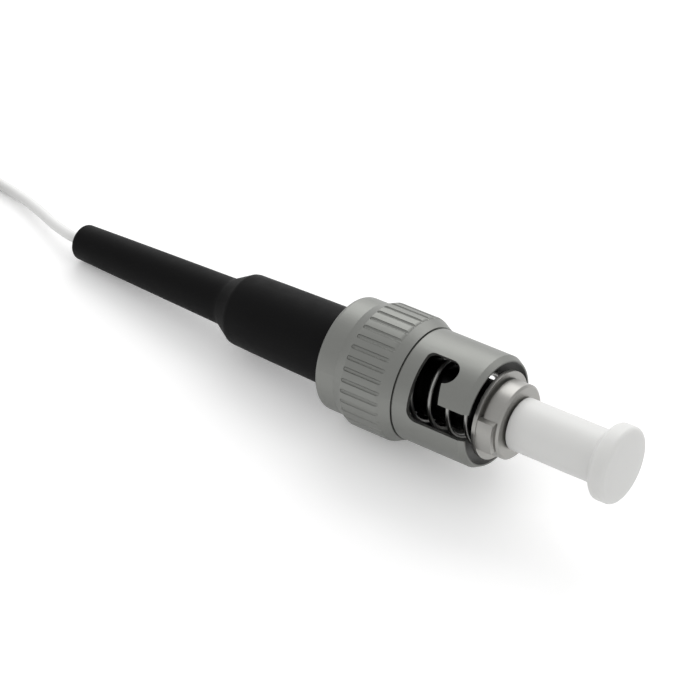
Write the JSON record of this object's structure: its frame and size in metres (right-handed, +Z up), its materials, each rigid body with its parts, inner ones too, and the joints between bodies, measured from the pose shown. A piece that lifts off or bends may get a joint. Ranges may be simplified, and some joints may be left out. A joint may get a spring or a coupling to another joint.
{
  "type": "st fibre connector",
  "caption": "Bayonet-coupled fibre connector with a slotted ribbed nut, sprung ceramic ferrule under a dust cap, and a tapered boot on a lead of buffered fibre.",
  "frame": {"origin": "on the floor, under the middle of the connector's length without its free fibre", "axes": "+X along the connector towards the ferrule's tip, seen from above; +Z up from the floor it lies on; the connector's own axis rises 6.6 degrees towards the tip, in the plane of X and Z"},
  "size_m": [0.078, 0.0166, 0.0105],
  "materials": {
    "nut_metal": "satin nickel plate",
    "body_metal": "bright nickel plate",
    "ceramic": "polished ceramic",
    "glass_fibre": "clear",
    "buffer": "smooth",
    "tube_plastic": "waxy",
    "spring_steel": "drawn wire",
    "boot_rubber": "matte",
    "cap_plastic": "milky, slightly translucent"
  },
  "bodies": {
    "plug": {"ferrule_body": "body_metal", "ferrule": "ceramic", "bare_fibre": "glass_fibre", "buffered_fibre": "buffer", "guide_tube": "tube_plastic", "retaining_clip": "spring_steel", "boot": "boot_rubber", "fibre_lead": "buffer", "fibre_coil": "buffer"},
    "spring": {"spring": "spring_steel"},
    "nut": {"coupling_nut": "nut_metal"},
    "cap": {"dust_cap": "cap_plastic"}
  },
  "joints": [
    {"name": "nut_slide", "type": "slide", "parent": "plug", "child": "spring", "axis": [0.9933, 0, 0.1153], "range_m": [0, 0.0025], "stiffness_N_per_m": 1200, "springref_m": -0.003, "deforming": ["spring"]},
    {"name": "nut_turn", "type": "hinge", "parent": "spring", "child": "nut", "pos_m": [0.01473, 0, 0.00616], "axis": [0.9933, 0, 0.1153], "continuous": true},
    {"name": "cap_pull", "type": "slide", "parent": "plug", "child": "cap", "axis": [0.9933, 0, 0.1153], "range_m": [0, 0.008]}
  ]
}
